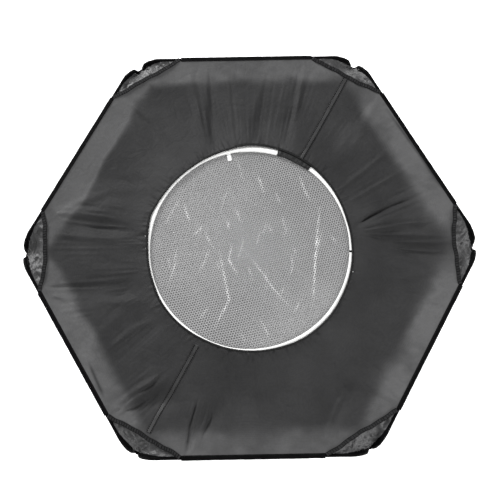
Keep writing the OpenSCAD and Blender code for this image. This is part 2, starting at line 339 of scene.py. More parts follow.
def net_material():
    m, t, b = material("net_mesh")
    co = node(t, "ShaderNodeTexCoord")
    n = node(t, "ShaderNodeTexNoise", in_Scale=12.0, in_Detail=4.0)
    t.links.new(co.outputs["Object"], n.inputs["Vector"])
    mix = node(t, "ShaderNodeMix", data_type="RGBA")
    mix.inputs[6].default_value = (0.24, 0.24, 0.242, 1)
    mix.inputs[7].default_value = (0.32, 0.32, 0.322, 1)
    t.links.new(n.outputs["Fac"], mix.inputs[0])
    # painted highlight: the crease attribute lightens the net's colour along its folds
    at = node(t, "ShaderNodeAttribute", attribute_name="crease")
    mix2 = node(t, "ShaderNodeMix", data_type="RGBA")
    mix2.inputs[7].default_value = (0.85, 0.85, 0.85, 1)
    t.links.new(at.outputs["Fac"], mix2.inputs[0])
    t.links.new(mix.outputs[2], mix2.inputs[6])
    t.links.new(mix2.outputs[2], b.inputs["Base Color"])
    w = node(t, "ShaderNodeTexWave", wave_type="BANDS", bands_direction="DIAGONAL", in_Scale=500.0)
    t.links.new(co.outputs["Object"], w.inputs["Vector"])
    bp = node(t, "ShaderNodeBump", in_Strength=0.4, in_Distance=0.0002)
    t.links.new(w.outputs["Fac"], bp.inputs["Height"])
    t.links.new(bp.outputs[0], b.inputs["Normal"])
    b.inputs["Roughness"].default_value = 0.55
    return m


M_NET = net_material()


# ------------------------------------------------------------------ cloth simulation, applied to the mesh
def simulate(o, pins, frames, grow=0.0, grow_group=None, bend=0.6, gravity=1.0, tension=15.0, mass=0.12, quality=5, sub=1):
    """Runs Blender's cloth on o with its pinned points held, and leaves the settled shape in the mesh."""
    g = o.vertex_groups.new(name="pin")
    g.add([int(i) for i in np.flatnonzero(pins)], 1.0, "REPLACE")
    if grow_group is not None:
        gg = o.vertex_groups.new(name="grow")
        levels = np.round(np.asarray(grow_group) * 20) / 20
        for level in np.unique(levels):
            gg.add([int(i) for i in np.flatnonzero(levels == level)], float(level), "REPLACE")
    mod = o.modifiers.new("cloth", "CLOTH")
    s = mod.settings
    s.quality = quality
    s.mass = mass
    s.tension_stiffness = s.compression_stiffness = tension
    s.shear_stiffness = tension * 0.35
    s.bending_stiffness = bend
    s.tension_damping = s.compression_damping = 8
    s.shear_damping = 8
    s.bending_damping = 0.6
    s.air_damping = 4
    s.vertex_group_mass = "pin"
    s.pin_stiffness = 1.0
    if grow_group is not None:
        s.vertex_group_shrink = "grow"
        s.shrink_min, s.shrink_max = 0.0, -grow
    else:
        s.shrink_min = s.shrink_max = -grow
    s.effector_weights.gravity = gravity
    mod.collision_settings.use_collision = False
    mod.collision_settings.use_self_collision = False
    mod.point_cache.frame_start, mod.point_cache.frame_end = 1, frames + 1
    sc = bpy.context.scene
    sc.frame_start, sc.frame_end = 1, frames + 1
    for f in range(1, frames + 1):
        sc.frame_set(f)
    dg = bpy.context.evaluated_depsgraph_get()
    ev = o.evaluated_get(dg)
    co = np.empty(len(o.data.vertices) * 3)
    ev.data.vertices.foreach_get("co", co)
    o.modifiers.remove(mod)
    for group in list(o.vertex_groups):
        o.vertex_groups.remove(group)
    o.data.vertices.foreach_set("co", co)
    o.data.update()
    sc.frame_set(1)


def coords(o):
    co = np.empty(len(o.data.vertices) * 3)
    o.data.vertices.foreach_get("co", co)
    return co.reshape(-1, 3)


def set_coords(o, co):
    o.data.vertices.foreach_set("co", np.asarray(co, float).ravel())
    o.data.update()


# ------------------------------------------------------------------ the deck
def hem_inner(theta):
    """Radius of the hem's inner edge: how much of the white rim it leaves open changes round the opening."""
    deg = np.degrees(theta) % 360
    at = [0, 15, 30, 40, 50, 60, 72, 80, 90, 95, 100, 110, 125, 145, 155, 160, 165, 172, 180, 200, 210, 225, 245, 265, 285, 300, 320, 330, 350, 360]
    px = [1.5, 0.8, 2.0, 2.8, 4.0, 4.6, 5.2, 5.6, 5.6, 4.8, 3.2, 2.2, 1.0, 1.8, 3.2, 4.4, 3.5, 2.0, 0.8, 0.8, 1.8, 1.5, 0.4, 1.0, 1.8, 3.3, 3.3, 2.3, 2.1, 1.5]
    w = np.interp(deg, at, px)
    return 0.2378 + w * 0.0024


def outer(theta):
    """The deck's outer edge: along the sleeves, and under the straps across the corners."""
    phi = (theta + math.pi / 6) % (math.pi / 3) - math.pi / 6  # from the nearest corner
    bow = np.array(BOW)[np.round(np.asarray(theta) / (math.pi / 3)).astype(int) % 6]
    edge = (APO - EDGE_IN) / np.cos(math.pi / 6 - np.abs(phi))
    cut = CHORD_C / np.cos(phi)
    for _ in range(6):
        cut = (CHORD_C + 0.0015 - bow * (1 - np.minimum(1, (cut * np.sin(phi) / CHORD_H) ** 2))) / np.cos(phi)
    return np.minimum(edge, cut)


def seg_distance(p, a, b):
    d = b - a
    t = np.clip(((p - a) @ d) / (d @ d), 0, 1)
    return np.linalg.norm(p - (a + t[:, None] * d), axis=1), t


def ridge(p, pts, height, width, sharp=1.0):
    """A fold along a polyline of pixels: a raised (or sunk) crease that fades at its ends."""
    line = np.array([at_px(x, y, 0.25)[:2] for x, y in pts])
    out = np.zeros(len(p))
    total = sum(np.linalg.norm(b - a) for a, b in zip(line, line[1:]))
    done = 0.0
    for a, b in zip(line, line[1:]):
        d, t = seg_distance(p, a, b)
        length = np.linalg.norm(b - a)
        s = (done + t * length) / total
        fade = np.minimum(1, 4 * np.minimum(s, 1 - s) + 0.12)
        out = np.maximum(out, fade * np.exp(-((d / width) ** (2 * sharp))))
        done += length
    return out * height


N_T, N_R = 900, 84
theta = 2 * math.pi * np.arange(N_T) / N_T + math.radians(60)
tt = np.linspace(0, 1, N_R)
r_in = hem_inner(theta) + 0.0042
r_out = outer(theta)
R = r_in[:, None] + (r_out - r_in)[:, None] * tt[None, :]
X, Y = R * np.cos(theta)[:, None], R * np.sin(theta)[:, None]
P2 = np.stack([X, Y], -1).reshape(-1, 2)
T = np.repeat(tt[None], N_T, 0).reshape(-1)
TH = np.repeat(theta[:, None], N_R, 1).reshape(-1)
RR = R.reshape(-1)
D_IN = (R - r_in[:, None]).reshape(-1)
D_OUT = (r_out[:, None] - R).reshape(-1)
z = np.full(len(P2), 0.2496)
free = np.clip(D_IN / 0.012, 0, 1) * np.clip(D_OUT / 0.012, 0, 1)
z -= 0.0045 * np.sin(math.pi * T) ** 1.0 * free
# gathers that start at the hem
gather = np.zeros(len(P2))
for k in range(120):
    a = rng.random() * 2 * math.pi
    size = rng.random()
    near_top = 0.5 + 0.5 * math.cos(a - math.radians(95))
    reach = 0.02 + 0.07 * size ** 2 + 0.09 * near_top * rng.random()
    wide = 0.0060 + 0.0100 * rng.random()
    lean = (rng.random() - 0.5) * 0.5
    high = (0.0003 + 0.0011 * rng.random()) * (0.55 + 0.10 * near_top)
    da = (TH - a - lean * D_IN / 0.25 + math.pi) % (2 * math.pi) - math.pi
    gather += high * np.exp(-((da * RR / (wide * (1 + D_IN / 0.12))) ** 2)) * np.exp(-((D_IN / reach) ** 2)) * (1 if rng.random() < 0.7 else -0.6)
z += gather * np.clip(D_IN / 0.006, 0, 1)
ticks = np.zeros(len(P2))
for k in range(260):
    a = rng.random() * 2 * math.pi
    reach = 0.007 + 0.022 * rng.random() ** 2
    wide = 0.0020 + 0.0022 * rng.random()
    lean = (rng.random() - 0.5) * 0.8
    da = (TH - a - lean * D_IN / 0.25 + math.pi) % (2 * math.pi) - math.pi
    ticks += rng.choice([-1, 1], p=[0.6, 0.4]) * (0.0008 + 0.0012 * rng.random()) * np.exp(-((da * RR / wide) ** 2)) * np.exp(-((D_IN / reach) ** 2))
ticks *= np.clip(D_IN / 0.003, 0, 1)
# broad slack and folds
x_, y_ = P2[:, 0], P2[:, 1]
z += free * 0.0022 * smooth_noise(x_, y_, 0 * x_, 0.20, 3)
z += free * 0.0008 * smooth_noise(x_, y_, 0 * x_, 0.07, 5)
streaks = np.zeros(len(P2))
for k in range(90):
    a = rng.random() * 2 * math.pi
    start, reach = rng.random() * 0.10, 0.05 + 0.12 * rng.random()
    wide = 0.005 + 0.010 * rng.random()
    lean = (rng.random() - 0.5) * 0.5
    da = (TH - a - lean * (D_IN - start) / 0.25 + math.pi) % (2 * math.pi) - math.pi
    along = np.clip((D_IN - start) / reach, 0, 1)
    streaks += rng.choice([-1, 1]) * (0.0004 + 0.0009 * rng.random()) * np.exp(-((da * RR / wide) ** 2)) * np.sin(math.pi * along)
z += streaks
# the cloth crinkles where it crosses from one side's pull to the next
smooth_z = z.copy()
for k in range(150):
    a = rng.random() * 2 * math.pi
    c_ = np.array([math.cos(a), math.sin(a)]) * (0.36 + 0.12 * rng.random())
    e_ = c_ + (0.015 + 0.04 * rng.random()) * np.array([math.cos(a + rng.normal() * 0.9), math.sin(a + rng.normal() * 0.9)])
    dd_, t_ = seg_distance(P2, c_, e_)
    z += free * rng.choice([-1, 1]) * (0.0003 + 0.0008 * rng.random()) * np.sin(math.pi * t_) * np.exp(-((dd_ / (0.0025 + 0.003 * rng.random())) ** 2))
crinkles = z - smooth_z
FOLDS = [
    ([(352, 229), (372, 214), (392, 205), (418, 196)], -0.0040, 0.0052),
    ([(366, 231), (400, 224), (432, 222)], 0.0036, 0.007),
    ([(185, 457), (190, 425), (198, 398)], -0.0048, 0.0042),
    ([(189, 457), (200, 430), (212, 408)], 0.0034, 0.006),
    ([(325, 441), (333, 418), (346, 392)], 0.0040, 0.0060),
    ([(112, 410), (135, 388), (160, 378)], 0.0035, 0.006),
    ([(118, 414), (135, 398)], 0.0030, 0.004),
    ([(44, 290), (70, 300), (95, 320)], 0.0030, 0.008),
    ([(44, 292), (62, 322), (80, 350)], 0.0020, 0.009),
    ([(52, 232), (80, 236), (118, 240)], 0.0028, 0.010),
    ([(52, 218), (80, 200), (110, 190)], 0.0024, 0.009),
    ([(446, 268), (420, 275), (390, 280)], 0.0030, 0.009),
    ([(455, 286), (430, 300), (405, 322)], 0.0024, 0.009),
    ([(444, 214), (420, 205), (398, 204)], 0.0022, 0.006),
    ([(126, 102), (150, 118), (168, 140)], 0.0024, 0.009),
    ([(186, 68), (196, 95), (200, 125)], 0.0024, 0.009),
    ([(309, 60), (300, 90), (296, 120)], 0.0026, 0.008),
    ([(378, 96), (366, 122), (352, 150)], 0.0022, 0.010),
    ([(402, 402), (378, 378), (360, 352)], 0.0028, 0.009),
    ([(228, 360), (232, 390), (230, 430)], 0.0024, 0.007),
    ([(262, 360), (258, 392), (262, 420)], 0.0020, 0.008),
    ([(160, 318), (130, 330), (105, 352)], 0.0022, 0.008),
    ([(150, 300), (120, 302), (86, 300)], 0.0022, 0.010),
    ([(340, 190), (362, 172), (388, 150)], 0.0020, 0.007),
    ([(346, 204), (372, 188), (398, 172)], 0.0020, 0.006),
]


def fan(p, apex, b, c, high, soft=0.45):
    """A facet between two creases that spread from an apex: high along the first and low along the second."""
    A, B, C = [np.array(at_px(q[0], q[1], 0.25)[:2]) for q in (apex, b, c)]
    vb, vc = B - A, C - A
    ab, ac = math.atan2(vb[1], vb[0]), math.atan2(vc[1], vc[0])
    turn = (ac - ab + math.pi) % (2 * math.pi) - math.pi
    mid, half = ab + turn / 2, abs(turn) / 2
    u = p - A
    r = np.linalg.norm(u, axis=1)
    q = ((np.arctan2(u[:, 1], u[:, 0]) - mid + math.pi) % (2 * math.pi) - math.pi) / half
    q *= -1 if turn > 0 else 1
    out = np.where(np.abs(q) <= 1, np.sin(q * math.pi / 2), np.sign(q) * np.exp(-(((np.abs(q) - 1) / (soft / half * 0.35)) ** 2)))
    reach = (np.linalg.norm(vb) + np.linalg.norm(vc)) / 2
    s_ = np.clip(r / reach, 0, 1.6)
    env = np.minimum(1, s_ * 1.6) * 0.5 * (1 - np.tanh((s_ - 0.95) / 0.16))
    return high * env * out


macro = np.zeros(len(P2))
for apex, b, c, high in [
    ((360, 230), (440, 221), (448, 264), 0.0140),
    ((356, 228), (404, 190), (430, 206), -0.0050),
    ((43, 286), (128, 288), (112, 336), -0.0070),
    ((46, 292), (100, 346), (80, 372), 0.0050),
    ((112, 412), (168, 370), (176, 400), 0.0085),
    ((184, 458), (197, 396), (222, 402), 0.0072),
    ((322, 443), (344, 388), (372, 396), -0.0065),
    ((208, 60), (202, 146), (216, 150), 0.0036),
    ((268, 66), (240, 150), (256, 150), 0.0024),
    ((300, 66), (284, 148), (296, 150), -0.0022),
    ((52, 214), (128, 206), (124, 232), 0.0044),
    ((400, 404), (366, 360), (352, 378), -0.0046),
    ((120, 100), (150, 150), (172, 136), 0.0026),
]:
    macro += free * fan(P2, apex, b, c, high)
for pts, high, wide in FOLDS:
    macro += free * ridge(P2, pts, high * 1.15, wide)
# broad, shallow radial waves, strongest above the opening
for k in range(40):
    a = math.radians(rng.choice([rng.normal(95, 36), rng.random() * 360], p=[0.5, 0.5]))
    start, reach = 0.01 + rng.random() * 0.05, 0.07 + 0.12 * rng.random()
    wide = 0.009 + 0.015 * rng.random()
    lean = (rng.random() - 0.5) * 0.9
    da = (TH - a - lean * (D_IN - start) / 0.25 + math.pi) % (2 * math.pi) - math.pi
    macro += free * rng.choice([-1, 1]) * (0.0006 + 0.0011 * rng.random()) * np.exp(-((da * RR / wide) ** 2)) * np.sin(math.pi * np.clip((D_IN - start) / reach, 0, 1))
z += macro
deck_verts = np.c_[P2, z]
deck_faces = grid(N_T, N_R, True, False)
deck = put("deck_all", deck_verts, deck_faces, M_DECK)
grow_w = np.exp(-((D_IN / 0.10) ** 2)) * 0.75 + 0.25
simulate(deck, (T < 0.001) | (T > 0.999), 14, grow=0.006, grow_group=grow_w, bend=0.25, gravity=0.6, quality=4)
deck_co = coords(deck)
# the cloth's larger folds, which the short simulation pulls nearly flat, keep part of their height
deck_co[:, 2] += 0.85 * macro + 0.3 * free * gather + ticks + free * (0.75 * streaks + 0.6 * crinkles)
deck_z = deck_co[:, 2].reshape(N_T, N_R).copy()
# the painted light strip along the edges: the deck's colour is made lighter where light comes through the cloth over
# the sides, by a different amount on each side
phi = (TH % (math.pi / 3)) - math.pi / 6
to_side = APO - RR * np.cos(phi)
deg_ = np.degrees(TH) % 360
side_at = [-30, 30, 90, 150, 210, 270, 330, 390]
fade = np.interp(deg_, side_at, [0.011, 0.011, 0.010, 0.0055, 0.011, 0.015, 0.012, 0.011])
share = np.interp(deg_, side_at, [1.00, 1.04, 0.90, 1.30, 0.95, 0.56, 1.00, 1.04])
reach_ = np.interp(deg_, side_at, [0.060, 0.059, 0.056, 0.064, 0.060, 0.052, 0.060, 0.059])
soft = 0.5 + 0.5 * np.tanh((reach_ + 0.0050 * smooth_noise(x_, y_, 0 * x_, 0.11, 11) - to_side) / (fade * (1 + 0.35 * smooth_noise(x_, y_, 0 * x_, 0.2, 15))))
band = soft * share * (1.0 + 0.26 * smooth_noise(x_, y_, 0 * x_, 0.10, 12) + 0.14 * smooth_noise(x_, y_, 0 * x_, 0.03, 13)) + 0.07 * smooth_noise(x_, y_, 0 * x_, 0.16, 14)
# the painted light strip fades near four of the corners
for k, w_ in ((0, 0.55), (3, 0.35), (1, 0.25), (5, 0.30)):
    tip_ = np.array([CHORD_C * math.cos(math.radians(60 * k)), CHORD_C * math.sin(math.radians(60 * k))])
    band *= 1 - w_ * np.exp(-(np.linalg.norm(P2 - tip_, axis=1) / 0.075) ** 2)
band = np.clip(band, 0, 1.35)

# painted shade: thin dark lines along four folds, cut into the painted light strip
for pts in ([(386, 108), (420, 155), (448, 197)], [(88, 362), (96, 380), (104, 398)], [(352, 229), (380, 210), (416, 196)], [(185, 456), (191, 424), (198, 399)]):
    band = band * (1 - 0.9 * ridge(P2, pts, 1.0, 0.0036))


def deck_height(x, y):
    """Height of the deck's cloth at a point, from its own grid."""
    th = np.arctan2(y, x)
    i = ((th - theta[0]) % (2 * math.pi)) / (2 * math.pi) * N_T
    i0 = np.floor(i).astype(int) % N_T
    f = np.hypot(x, y)
    t = np.clip((f - r_in[i0]) / (r_out[i0] - r_in[i0]), 0, 1) * (N_R - 1)
    j0 = np.minimum(t.astype(int), N_R - 2)
    return deck_z[i0, j0] * (1 - (t - j0)) + deck_z[i0, j0 + 1] * (t - j0)


halves = {}
for name, cols in (("deck_left_cloth", np.arange(0, N_T // 2 + 1)), ("deck_right_cloth", np.arange(N_T // 2, N_T + 1))):
    cols = cols % N_T
    index = (cols[:, None] * N_R + np.arange(N_R)[None]).ravel()
    o = put(name, deck_co[index], grid(len(cols), N_R), M_DECK)
    # this attribute carries the painted light strip along the deck's edges into its material
    attribute(o, "band", band[index])
    halves[name] = o
bpy.data.objects.remove(deck)
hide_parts("deck_cloth_left")
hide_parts("deck_cloth_right")

squashed = list(halves.values())


def add_squash(o, slot, *nodes):
    if nodes:
        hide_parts(*nodes)
    squashed.append(o)
    return o


# seams: a felled seam with two rows of stitching
def seam(name, px, nodes, seed):
    line = np.array([at_px(x, y, 0.249)[:2] for x, y in px])
    s = np.concatenate([[0], np.cumsum(np.linalg.norm(np.diff(line, axis=0), axis=1))])
    n = 90
    u = np.linspace(0, s[-1], n)
    c = np.c_[np.interp(u, s, line[:, 0]), np.interp(u, s, line[:, 1])]
    for _ in range(12):
        c[1:-1] = (c[:-2] + 2 * c[1:-1] + c[2:]) / 4
    d = np.gradient(c, axis=0)
    d /= np.linalg.norm(d, axis=1)[:, None]
    nrm = np.c_[-d[:, 1], d[:, 0]]
    half = 0.0058
    rows = []
    prof = [(-1.0, -0.0002), (-0.94, 0.0006), (-0.5, 0.0010), (0, 0.0008), (0.5, 0.0010), (0.94, 0.0006), (1.0, -0.0002)]
    for q, h in prof:
        xy = c + nrm * q * half
        pucker = 0.0004 * np.sin(u / 0.0062 * 2 * math.pi + q * 3)
        rows.append(np.c_[xy, deck_height(xy[:, 0], xy[:, 1]) + h + pucker])
    v = np.array(rows).transpose(1, 0, 2).reshape(-1, 3)
    o = put(name, v, grid(n, len(prof)), M_SEAM)
    o.modifiers.new("s", "SOLIDIFY").thickness = 0.0005
    add_squash(o, "seam_tape", nodes)
    lines = []
    for q in (-0.80, 0.80):
        xy = c + nrm * q * half
        lines.append((np.c_[xy, deck_height(xy[:, 0], xy[:, 1]) + 0.0011], np.tile([0, 0, 1.0], (n, 1))))
    add_squash(stitches(name + "_stitches", lines, M_THREAD, length=0.0040, pitch=0.0046, width=0.0018, height=0.0006), "seam_tape")
    return o


seam("seam_rear_tape", [(301.0, 158.5), (317, 130), (333, 101), (346.8, 76.5)], "deck_seam_rear", 1)
seam("seam_front_tape", [(197.0, 345.0), (183, 370), (169, 395), (158, 413), (148, 433)], "deck_seam_front", 2)


# straps: ribbed elastic across each corner, sewn down in a ladder of stitches
def strap(k):
    a = math.radians(60 * k)
    r = np.random.default_rng(500 + k)
    n = 150
    tau = np.linspace(-CHORD_H + 0.0035, CHORD_H - 0.0035, n)
    ph = r.random(3) * 6.28
    mid = CHORD_C - BOW[k] * (1 - (tau / CHORD_H) ** 2) + 0.0011 * np.sin(tau * 60 + ph[0]) + 0.0006 * np.sin(tau * 150 + ph[1])
    slope = np.gradient(mid, tau)
    tn = np.stack([slope, np.ones(n)], -1)
    tn /= np.linalg.norm(tn, axis=1)[:, None]
    nn = np.stack([tn[:, 1], -tn[:, 0]], -1)
    top = 0.2500 + 0.0004 * np.sin(tau * 75 + ph[2])

    def place(u, h):
        rho, ta = mid + nn[:, 0] * u, tau + nn[:, 1] * u
        return np.stack([rho * math.cos(a) - ta * math.sin(a), rho * math.sin(a) + ta * math.cos(a), top + h], -1)

    prof = [(-5.0, -0.2), (-4.7, 0.5), (-3.4, 0.85), (-2.4, 0.7), (0, 0.75), (2.4, 0.7), (3.4, 0.85), (4.7, 0.5), (5.0, -0.2), (4.4, -0.6), (-4.4, -0.6)]
    v = np.array([place(w / 1000, h / 1000 + 0.00022 * np.cos(tau / 0.0058 * 2 * math.pi) * (1 if h > 0 else 0)) for w, h in prof]).transpose(1, 0, 2).reshape(-1, 3)
    f = list(map(tuple, grid(n, len(prof), False, True)))
    f.append(tuple(range(len(prof))))
    f.append(tuple((n - 1) * len(prof) + i for i in reversed(range(len(prof)))))
    o = put("strap_" + CORNERS[k], v, f, M_ELAST)
    add_squash(o, "strap_elastic", "corner_strap_" + CORNERS[k])
    up = np.tile([0, 0, 1.0], (n, 1))
    lines = [(place(w, 0.0007), up) for w in (-0.0041, 0.0041)]
    add_squash(stitches("strap_" + CORNERS[k] + "_edges", lines, M_THREAD, length=0.0040, pitch=0.0046, width=0.0013, height=0.0006), "strap_elastic")
    V, F = [], []
    lo, hi = place(-0.0040, 0.0009), place(0.0040, 0.0009)
    s_ = np.concatenate([[0], np.cumsum(np.linalg.norm(np.diff(lo, axis=0), axis=1))])
    for q, c in enumerate(np.arange(0.005, s_[-1] - 0.004, 0.0062)):
        c += r.normal() * 0.0005
        A = np.array([np.interp(c - 0.0007, s_, lo[:, d]) for d in range(3)])
        B = np.array([np.interp(c + 0.0007, s_, hi[:, d]) for d in range(3)])
        t = (B - A) / np.linalg.norm(B - A)
        b = np.cross([0, 0, 1], t)
        base = len(V)
        for w, g in ((0.0, 0.5), (0.12, 1), (0.88, 1), (1.0, 0.5)):
            for u, h in ((-1, -0.1), (-0.5, 1), (0.5, 1), (1, -0.1)):
                V.append(A + (B - A) * w + b * u * 0.0008 * g + np.array([0, 0, h * 0.0006 * g]))
        for x in range(3):
            for y in range(3):
                F.append([base + x * 4 + y, base + (x + 1) * 4 + y, base + (x + 1) * 4 + y + 1, base + x * 4 + y + 1])
    add_squash(put("strap_" + CORNERS[k] + "_rungs", V, F, M_THREAD), "strap_elastic")


for k in range(6):
    strap(k)


# ------------------------------------------------------------------ the corner cloths, from a strap down to the corner seam
def corner_axes(k):
    a0 = math.radians(60 * k)
    tip = np.array([SIDE * math.cos(a0), SIDE * math.sin(a0)])
    ua, ub = [np.array([math.cos(a0 + q), math.sin(a0 + q)]) for q in (math.radians(120), -math.radians(120))]
    na, nb = [-np.array([math.cos(a0 + q), math.sin(a0 + q)]) for q in (math.pi / 6, -math.pi / 6)]
    return a0, tip, ua, ub, na, nb


def crumple(k):
    n, m = 54, 60
    a0, tip, ua, ub, na, nb = corner_axes(k)
    out = np.array([math.cos(a0), math.sin(a0), 0])
    tang = np.array([-math.sin(a0), math.cos(a0), 0])
    q = 0.0033
    flat = LEG - (SIDE / 2 - RUN)
    s_all = np.linspace(0, 1, n) * (flat + LOOP_R * math.radians(74))
    phi = math.pi / 2 - np.maximum(0, s_all - flat) / LOOP_R
    d = np.where(s_all < flat, LEG - s_all, SIDE / 2 - RUN - (LOOP_R + q) * np.cos(phi))
    zz = Z_TOP - LOOP_R + (LOOP_R + q) * np.sin(phi)
    A = np.c_[tip + ua * d[:, None] + na * q, zz]
    B = np.c_[tip + ub * d[:, None] + nb * q, zz]
    v = np.linspace(0, 1, m)
    P = A[:, None] * (1 - v)[None, :, None] + B[:, None] * v[None, :, None]
    w = 4 * v * (1 - v)
    first = np.array([CHORD_C - BOW[k] + 0.001, 0, 0.2496])
    last = np.array([float((P[-1, m // 2] @ out)), 0, zz[-1]])
    u = np.linspace(0, 1, n)
    line_r = first[0] + (last[0] - first[0]) * u
    line_z = first[2] + (last[2] - first[2]) * u
    now_r = P[:, m // 2] @ out
    now_z = P[:, m // 2, 2]
    mix = np.where(u < 1e-6, 1.0, 0.55)
    mix = 0.55 + 0.45 * np.exp(-u / 0.04)
    dr, dz = (line_r - now_r) * mix, (line_z - now_z) * mix
    P += dr[:, None, None] * w[None, :, None] * out + np.array([0, 0, 1]) * (dz[:, None] * w[None, :])[..., None]
    # the top edge lies on the deck's level, right up to the sleeves
    lift = np.exp(-u / 0.03)[:, None] * np.minimum(1, w * 8)[None]
    P[..., 2] = P[..., 2] * (1 - lift) + 0.2496 * lift
    # loose creases, then the simulation settles them
    r = np.random.default_rng(900 + k)
    U, W = np.meshgrid(u, v, indexing="ij")
    free = np.clip(np.minimum(np.minimum(U, 1 - U) / 0.10, np.minimum(W, 1 - W) / 0.10), 0, 1)
    X2, Y2 = (W - 0.5) * 0.19, U * 0.10
    y = 0.0020 * smooth_noise(X2, Y2, 0 * X2, 0.06, 60 + k) + 0.0011 * smooth_noise(X2, Y2, 0 * X2, 0.022, 70 + k)
    pts = np.stack([X2.ravel(), Y2.ravel()], -1)
    for _ in range(15):
        c = np.array([(r.random() - 0.5) * 0.15, r.random() * 0.09])
        ang = r.normal() * 0.7 + (math.pi / 2 if r.random() < 0.6 else 0)
        L = 0.02 + 0.05 * r.random()
        e = c + L * np.array([math.cos(ang), math.sin(ang)])
        dd, t = seg_distance(pts, c, e)
        y += (r.choice([-1, 1]) * (0.0012 + 0.0026 * r.random()) * np.sin(math.pi * t) * np.exp(-((dd / (0.0022 + 0.003 * r.random())) ** 2))).reshape(y.shape)
    nrm = np.cross(np.gradient(P, axis=0), np.gradient(P, axis=1))
    nrm /= np.maximum(np.linalg.norm(nrm, axis=2, keepdims=True), 1e-9)
    nrm *= np.sign((nrm @ np.array([0, 0, 1.0]) + 0.3))[..., None]
    P = P + nrm * (y * free)[..., None]
    # the corner cloth's lighter material is painted light on the deck's nylon
    o = put("corner_gusset_" + CORNERS[k], P.reshape(-1, 3), grid(n, m), M_CORNER_LIT)
    fixed = (U < 1e-6) | (U > 1 - 1e-6) | (W < 1e-6) | (W > 1 - 1e-6)
    simulate(o, fixed.ravel(), 12, grow=0.035, bend=0.08, gravity=0.5, quality=4)
    G = coords(o).reshape(n, m, 3)
    add_squash(o, "deck_nylon", "corner_cloth_" + CORNERS[k])
    # the binding's black tape along both rounded ends, on the cloth
    for side, cols in (("a", range(m)), ("b", range(m - 1, -1, -1))):
        V = []
        for j in range(2, n):
            row = G[j, list(cols)]
            s_ = np.concatenate([[0], np.cumsum(np.linalg.norm(np.diff(row, axis=0), axis=1))])
            f_ = min(1.0, max(0.0, (j / (n - 1) - 0.25) / 0.5))
            width = min(0.0026 + 0.0105 * f_ * f_ * (3 - 2 * f_) + 0.0005 * math.sin(j * 0.9), s_[-1] * 0.5)
            for q_ in np.linspace(-0.0005, width, 5):
                V.append(np.array([np.interp(q_, s_, row[:, e]) for e in range(3)]) + (out * 0.7 + np.array([0, 0, 0.7])) * 0.0009)
        t_ = put("corner_band_" + CORNERS[k] + "_" + side, V, grid(n - 2, 5), M_TAPE)
        so = t_.modifiers.new("s", "SOLIDIFY")
        so.thickness, so.offset = 0.0006, -1
        add_squash(t_, "edge_tape")


for k in range(6):
    crumple(k)


# ------------------------------------------------------------------ hem, rim, hoop and net
def ring_frames(n):
    th = 2 * math.pi * np.arange(n) / n
    e = np.stack([np.cos(th), np.sin(th), 0 * th], -1)
    return th, e


def ring_mesh(name, n, radius, height, section, mat, ripple=None):
    """A closed ring: section is m x 2 (outwards, up) in metres, or a function of the angle."""
    th, e = ring_frames(n)
    V = []
    for i in range(n):
        sec = section(th[i]) if callable(section) else section
        for u, h in sec:
            r = radius(th[i]) + u
            V.append((r * e[i, 0], r * e[i, 1], height(th[i]) + h))
    m = len(sec)
    return put(name, V, grid(n, m, True, True), mat)


rip = np.random.default_rng(21)
HEM_N = 1440
pleat = np.zeros(HEM_N)
th_h = 2 * math.pi * np.arange(HEM_N) / HEM_N
for k in range(230):
    a, w, h = rip.random() * 2 * math.pi, 0.006 + 0.008 * rip.random(), rip.normal()
    d = (th_h - a + math.pi) % (2 * math.pi) - math.pi
    pleat += h * np.exp(-((d / w) ** 2))
pleat = pleat / np.abs(pleat).max()


def hem_section(t):
    q = pleat[int(round(t / (2 * math.pi) * HEM_N)) % HEM_N]
    puff = 1 + 0.16 * q
    k = 12
    a = 2 * math.pi * np.arange(k) / k
    # a flattened roll: thick over the elastic at its inner edge, thin where it is sewn to the deck
    u = np.array([0.0028 * (1 - math.cos(x)) for x in a])
    body = np.where(u < 0.0036, 1.0, 1.0 - 0.55 * (u - 0.0036) / 0.002)
    h = np.sin(a) * 0.00165 * puff * body
    return np.c_[u * (1 + 0.34 * q) + 0.0002 * q, h]


hem = ring_mesh("hem_roll", HEM_N, lambda t: float(hem_inner(t)) - 0.0004, lambda t: 0.2489 + 0.0003 * math.sin(9 * t), hem_section, M_HEM)
add_squash(hem, "hem_tape", "opening_hem")
# radius of the sewn line on the hem
th = np.linspace(0, 2 * math.pi, 1440)
line = np.c_[(hem_inner(th) + 0.0046) * np.cos(th), (hem_inner(th) + 0.0046) * np.sin(th), np.full(len(th), 0.2502)]
add_squash(stitches("hem_stitches", [(line, np.tile([0, 0, 1.0], (len(th), 1)))], M_THREAD2, length=0.003, pitch=0.0044), "hem_tape")

a8 = 2 * math.pi * np.arange(10) / 10
cord_sec = np.c_[0.0012 * np.cos(a8), 0.0012 * np.sin(a8)]
core = ring_mesh("hem_core", 360, lambda t: float(hem_inner(t)) + 0.0022, lambda t: 0.2489, cord_sec * 0.75, M_CORD)
add_squash(core, "elastic_cord", "hem_elastic")
hoop_sec = np.c_[0.0015 * np.cos(a8), 0.0015 * np.sin(a8)]
hoop = ring_mesh("hoop_wire", 360, lambda t: 0.241, lambda t: 0.2446, hoop_sec, M_STEEL)
add_squash(hoop, "spring_steel", "net_hoop")
fer = []
for t in np.radians(np.linspace(57, 65, 20)):
    for x in 2 * math.pi * np.arange(16) / 16:
        crimp = 0.0021 - 0.00025 * (abs(math.degrees(t) - 61) % 2 < 0.6)
        r = 0.241 + crimp * math.cos(x)
        fer.append((r * math.cos(t), r * math.sin(t), 0.2446 + crimp * math.sin(x)))
add_squash(put("hoop_crimp", fer, grid(20, 16, False, True), M_CRIMP), "crimp_steel", "hoop_ferrule")


